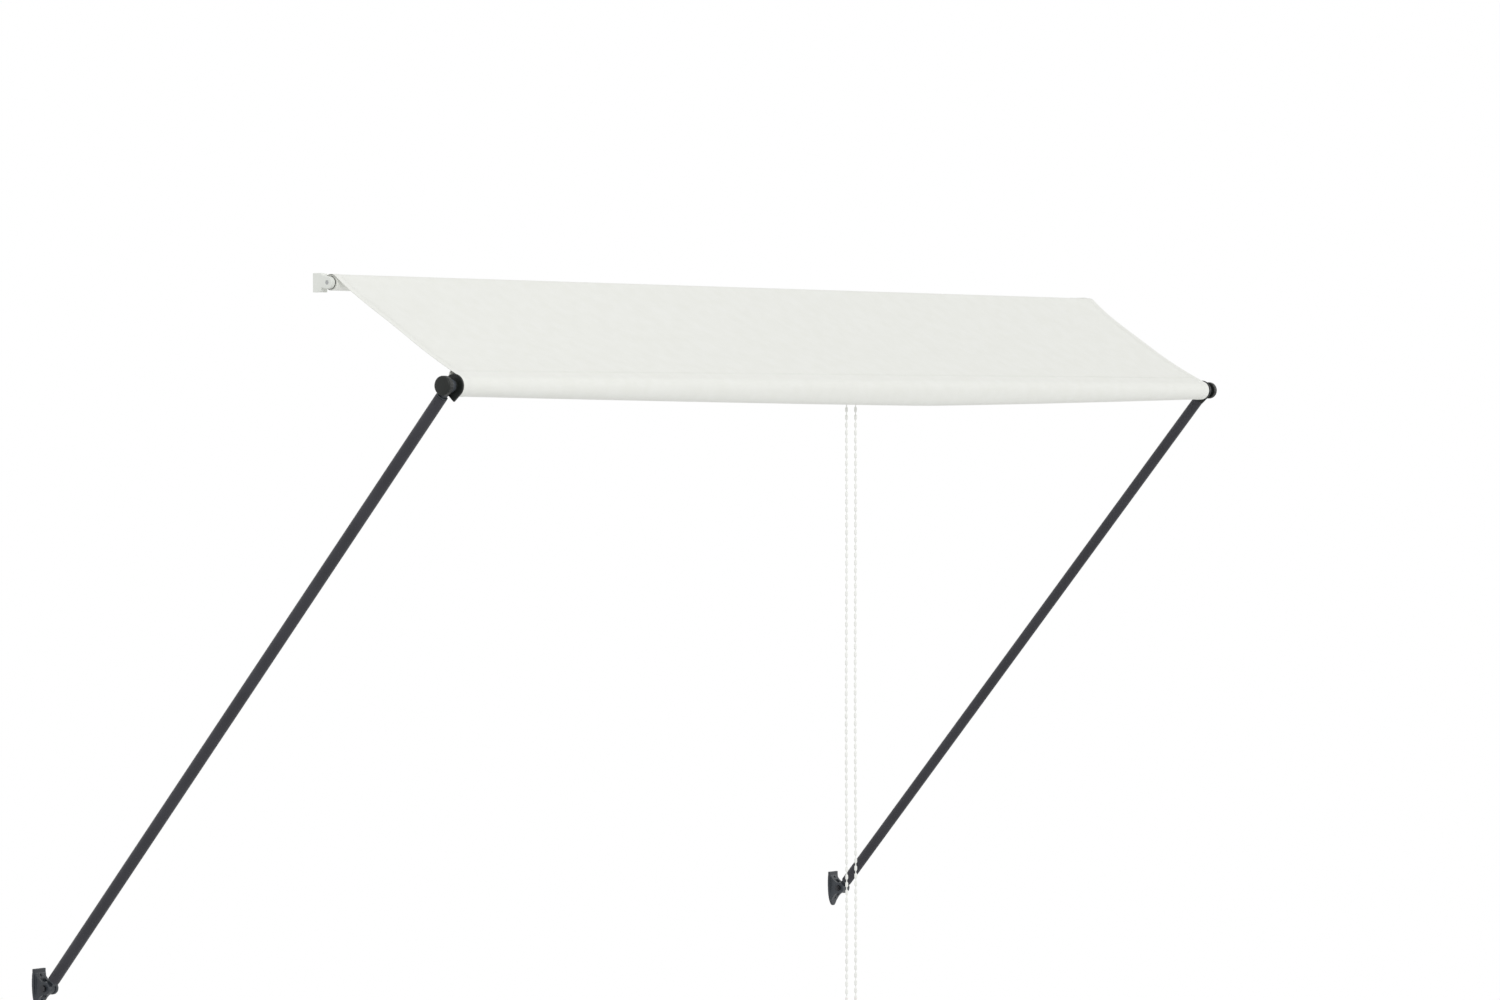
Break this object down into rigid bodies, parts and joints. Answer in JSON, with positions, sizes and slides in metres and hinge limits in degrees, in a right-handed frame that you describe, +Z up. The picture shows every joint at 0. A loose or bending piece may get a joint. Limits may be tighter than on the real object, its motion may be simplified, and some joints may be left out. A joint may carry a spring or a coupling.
{
  "type": "canvas awning",
  "caption": "Drop-arm canvas awning: spring roller on two fascia brackets, white cloth, round front bar on two swinging arms with clamp knobs, looped pull chain.",
  "frame": {"origin": "on the wall plane, halfway between the two arm brackets, at the height of the arm pivots", "axes": "+X along the front bar and the roller, +Y into the wall, +Z up"},
  "size_m": [3.0526, 1.1118, 1.6629],
  "materials": {
    "canvas": "matt woven cloth",
    "arm_paint": "satin powder coat",
    "slate_paint": "satin powder coat on a casting",
    "white_paint": "satin powder coat",
    "front_tube_paint": "white powder coat on aluminium",
    "black_plastic": "fine moulded grain",
    "zinc_steel": "bright zinc plate",
    "black_zinc": "black zinc plate",
    "aluminium": "mill finish",
    "chain_plastic": "smooth white"
  },
  "bodies": {
    "wall_fittings": {"arm_bracket_left": "slate_paint", "arm_bracket_right": "slate_paint", "arm_pivot_bolt_left": "black_zinc", "arm_pivot_bolt_right": "black_zinc", "arm_pivot_nut_left": "black_zinc", "arm_pivot_nut_right": "black_zinc", "roller_bracket_left": "white_paint", "roller_bracket_right": "white_paint", "spring_shaft": "zinc_steel", "torsion_spring": "zinc_steel", "roller_pin": "zinc_steel"},
    "roller": {"roller_tube": "aluminium", "fabric_roll": "canvas", "roller_plug_left": "black_plastic", "roller_plug_right": "black_plastic", "spring_anchor": "black_plastic"},
    "left_arm": {"left_arm_foot": "slate_paint", "left_arm_tube": "arm_paint", "left_arm_head": "slate_paint"},
    "right_arm": {"right_arm_foot": "slate_paint", "right_arm_tube": "arm_paint", "right_arm_head": "slate_paint"},
    "front_bar": {"front_tube": "front_tube_paint", "front_hem": "canvas", "front_cap_left": "black_plastic", "front_cap_right": "black_plastic", "front_spindle_left": "zinc_steel", "front_spindle_right": "zinc_steel", "chain_hanger": "zinc_steel"},
    "left_knob": {"knob_left": "black_plastic"},
    "right_knob": {"knob_right": "black_plastic"},
    "cloth": {"canopy": "canvas"},
    "chain": {"chain_yoke": "chain_plastic", "chain_pin": "zinc_steel", "pull_chain": "chain_plastic"}
  },
  "joints": [
    {"name": "left_arm_swing", "type": "hinge", "parent": "wall_fittings", "child": "left_arm", "pos_m": [-1.5, -0.03, 0], "axis": [1, 0, 0], "range_deg": [-10, 40]},
    {"name": "right_arm_swing", "type": "hinge", "parent": "wall_fittings", "child": "right_arm", "pos_m": [1.5, -0.03, 0], "axis": [1, 0, 0], "range_deg": [-10, 40]},
    {"name": "front_bar_turn", "type": "hinge", "parent": "left_arm", "child": "front_bar", "pos_m": [-1.5, -1.08804, 1.25709], "axis": [1, 0, 0], "range_deg": [-20, 5]},
    {"name": "canopy_feed", "type": "slide", "parent": "front_bar", "child": "cloth", "axis": [0, 0.8342, 0.5514], "range_m": [-0.28, 1.12], "deforming": ["canopy"]},
    {"name": "chain_hang", "type": "hinge", "parent": "front_bar", "child": "chain", "pos_m": [-0.005, -1.05404, 1.25709], "axis": [1, 0, 0], "range_deg": [-20, 5]},
    {"name": "roller_spin", "type": "hinge", "parent": "wall_fittings", "child": "roller", "pos_m": [0, -0.772, 1.466], "axis": [1, 0, 0], "range_deg": [-1110, 4410]},
    {"name": "left_knob_turn", "type": "hinge", "parent": "front_bar", "child": "left_knob", "pos_m": [-1.52, -1.08804, 1.25709], "axis": [1, 0, 0], "continuous": true},
    {"name": "right_knob_turn", "type": "hinge", "parent": "front_bar", "child": "right_knob", "pos_m": [1.52, -1.08804, 1.25709], "axis": [1, 0, 0], "continuous": true}
  ],
  "couplings": [
    {"joint": "right_arm_swing", "follows": "left_arm_swing", "ratio": 1},
    {"joint": "front_bar_turn", "follows": "left_arm_swing", "ratio": -0.5},
    {"joint": "canopy_feed", "follows": "left_arm_swing", "m_per_rad": 1.6},
    {"joint": "chain_hang", "follows": "left_arm_swing", "ratio": -0.5},
    {"joint": "roller_spin", "follows": "left_arm_swing", "ratio": 110}
  ]
}
